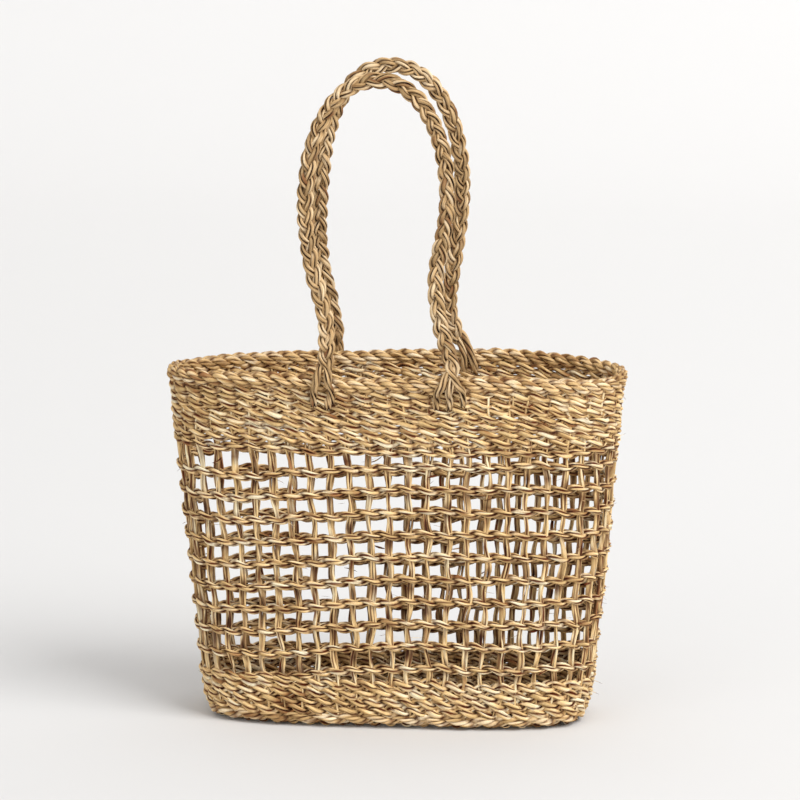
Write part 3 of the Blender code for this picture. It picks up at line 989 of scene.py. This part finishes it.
def plaited_handle(name, facing, tucks):
    """Three strands plaited along the loop, each with its own tuck at both feet."""
    line = evenly(handle_line(facing), LINE_STEP)
    tangent = np.gradient(line, axis=0)
    tangent /= np.linalg.norm(tangent, axis=1)[:, None]
    across = np.array([0, facing * 1.0, TILT])
    across /= np.linalg.norm(across)
    side = np.cross(across, tangent)
    side /= np.linalg.norm(side, axis=1)[:, None]
    run = np.linspace(0, 1, len(line)) * len(line) * LINE_STEP
    uneven = PLAIT_UNEVEN * np.sin(run / UNEVEN_LENGTH + facing)
    periods = round(run[-1] / PLAIT_PERIOD)
    paths = []
    for strand in range(STRANDS):
        phase = 2 * math.pi * (run / run[-1] * periods + strand / STRANDS) + uneven
        places = line + side * (PLAIT_SWING * np.sin(phase))[:, None]
        places = places + across * (PLAIT_DEPTH * np.sin(2 * phase))[:, None]
        left = tuck(places[0], -FEET, facing, *tucks["left"][strand])
        right = tuck(places[-1], FEET, facing, *tucks["right"][strand])
        places = np.vstack([np.array(left[:0:-1]), places, np.array(right[1:])])
        places = smooth_line(evenly(places, TUCK_STEP), 3)
        paths.append((places, np.tile(across, (len(places), 1)), False))
    leaf_turns = float(run[-1]) / LEAF_TURN
    sizes = {
        "Strands": 1,
        "Turns": 0.0,
        "Out": 0.0,
        "Side": 0.0,
        **bundle(4, 0.0019, 0.0018, 0.75, leaf_turns, 500 + facing),
        "Pinch": 0.0,
        "Twist": 10.0,
        "Taper": 0.004,
    }
    stands_for = [f"{name}_handle_braid", f"{name}_left_anchor", f"{name}_right_anchor"]
    obj = lay(f"{name}_handle_plait", paths, sizes, BRAID, stands_for)
    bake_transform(obj)
    return obj


# for each strand: on the outer face or not, how far it strays sideways from the foot, and how deep it goes
FRONT_TUCKS = {
    "left": ((True, 0.005, 0.006), (True, -0.008, 0.008), (False, 0.002, 0.010)),
    "right": ((True, -0.012, 0.009), (True, -0.003, 0.009), (True, 0.007, 0.006)),
}
REAR_TUCKS = {
    "left": ((True, -0.006, 0.010), (True, -0.013, 0.009), (True, -0.009, 0.008)),
    "right": ((False, -0.004, 0.014), (True, 0.000, 0.009), (False, 0.004, 0.014)),
}
plaited_handle("front", -1, FRONT_TUCKS)
plaited_handle("rear", 1, REAR_TUCKS)

# %% [markdown]
# ## Stray fibres and leaf ends
# Every new leaf is rolled in with its end left between the rows, and fibres split off as the grass dries.
# They are few, thin and short, but their absence would make the work look cast. Each one is a short path that
# starts inside a row and springs away, so the same tool lays them.

# %% Fibres and ends
def springing(count, length, rise, seed):
    """Short paths that leave the wall: mostly along it, and a little outwards."""
    dice = np.random.default_rng(seed)
    paths = []
    for _ in range(count):
        z = float(dice.uniform(0.010, 0.300))
        start, out = on_wall(z, float(dice.uniform()), 0.003)
        along = np.array([-out[1], out[0], 0.0]) * dice.choice([-1, 1])
        reach = length * float(dice.uniform(0.5, 1.3))
        lift = rise * float(dice.uniform(0.3, 1.2))
        climb = float(dice.uniform(-0.5, 0.6))
        points = []
        for share in np.linspace(0, 1, 7):
            away = along * share + out * lift * share**1.4 + np.array([0, 0, climb]) * share**1.7
            points.append(start + reach * away)
        paths.append((np.array(points), np.tile(out, (7, 1)), False))
    return paths


def loose(name, paths, radius, flatness, seed):
    """Lays single leaves that thin out towards their ends."""
    sizes = {
        "Strands": 1,
        "Turns": 0.0,
        "Out": 0.0,
        "Side": 0.0,
        "Pinch": 0.0,
        "Section": 5,
        "Radius": radius,
        "Flatness": flatness,
        "Twist": 0.0,
        "Taper": 0.006,
        "Seed": seed,
    }
    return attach(lay(name, paths, sizes, TWINE, []), "basket")


loose("stray_fibres", springing(130, 0.011, 0.55, 601), 0.00022, 0.9, 601)
loose("leaf_ends", springing(70, 0.009, 0.16, 602), 0.0013, 0.45, 602)

# %% [markdown]
# ## Stage and light
# The basket stands on a pale seamless sweep. One broad soft light from above right does most of the work, a
# weak one opens the left side, and a white world fills the shadows, so that the net's inside can be read.

# %% The sweep
def sweep(name):
    """A floor that curves up into a backdrop."""
    width, front, back, bend, height = 8.0, -6.0, 3.0, 1.2, 7.0
    profile = [(front, 0.0), (back, 0.0)]
    for angle in np.linspace(0, QUARTER, 17)[1:]:
        profile.append((back + bend * math.sin(angle), bend * (1 - math.cos(angle))))
    profile.append((back + bend, height))
    corners = [(x, y, z) for y, z in profile for x in (-width, width)]
    faces = [(2 * i, 2 * i + 1, 2 * i + 3, 2 * i + 2) for i in range(len(profile) - 1)]
    mesh = bpy.data.meshes.new(name)
    mesh.from_pydata(corners, [], faces)
    mesh.shade_smooth()
    obj = bpy.data.objects.new(name, mesh)
    bpy.context.scene.collection.objects.link(obj)
    return obj


backdrop = sweep("sweep")
paper = bpy.data.materials.new("sweep_paper")
paper.use_nodes = True
paper_tree = paper.node_tree
paper_shader = paper_tree.nodes["Principled BSDF"]
paper_shader.inputs["Roughness"].default_value = 0.9
spot = add_node(paper_tree, "ShaderNodeTexCoord").outputs["Object"]
depth = add_node(paper_tree, "ShaderNodeSeparateXYZ", {0: spot}).outputs[1]
far = add_node(paper_tree, "ShaderNodeMapRange", {0: depth, 1: -0.5, 2: 3.0}).outputs[0]
shade = mix(paper_tree, "MIX", far, tint(212, 211, 210), tint(236, 235, 234))
paper_tree.links.new(shade, paper_shader.inputs["Base Color"])
backdrop.data.materials.append(paper)


# %% Lights
LIT_POINT = (0, 0, 0.25)


def softbox(name, place, size, power):
    """A square light that points at the basket's middle."""
    lamp = bpy.data.lights.new(name, "AREA")
    lamp.shape = "SQUARE"
    lamp.size = size
    lamp.energy = power
    obj = bpy.data.objects.new(name, lamp)
    bpy.context.scene.collection.objects.link(obj)
    obj.location = place
    ray = np.array(LIT_POINT) - np.array(place)
    obj.rotation_euler = (math.atan2(math.hypot(ray[0], ray[1]), -ray[2]), 0, math.atan2(-ray[0], ray[1]))


softbox("key_light", (3.9, -2.8, 4.7), 4.2, 395)
softbox("fill_light", (-2.6, -4.2, 2.2), 3.0, 30)
world = bpy.data.worlds.new("studio")
world.use_nodes = True
sky = world.node_tree.nodes["Background"].inputs
sky["Color"].default_value = (1, 1, 1, 1)
sky["Strength"].default_value = 0.70
bpy.context.scene.world = world
bpy.context.scene.view_settings.view_transform = "Standard"
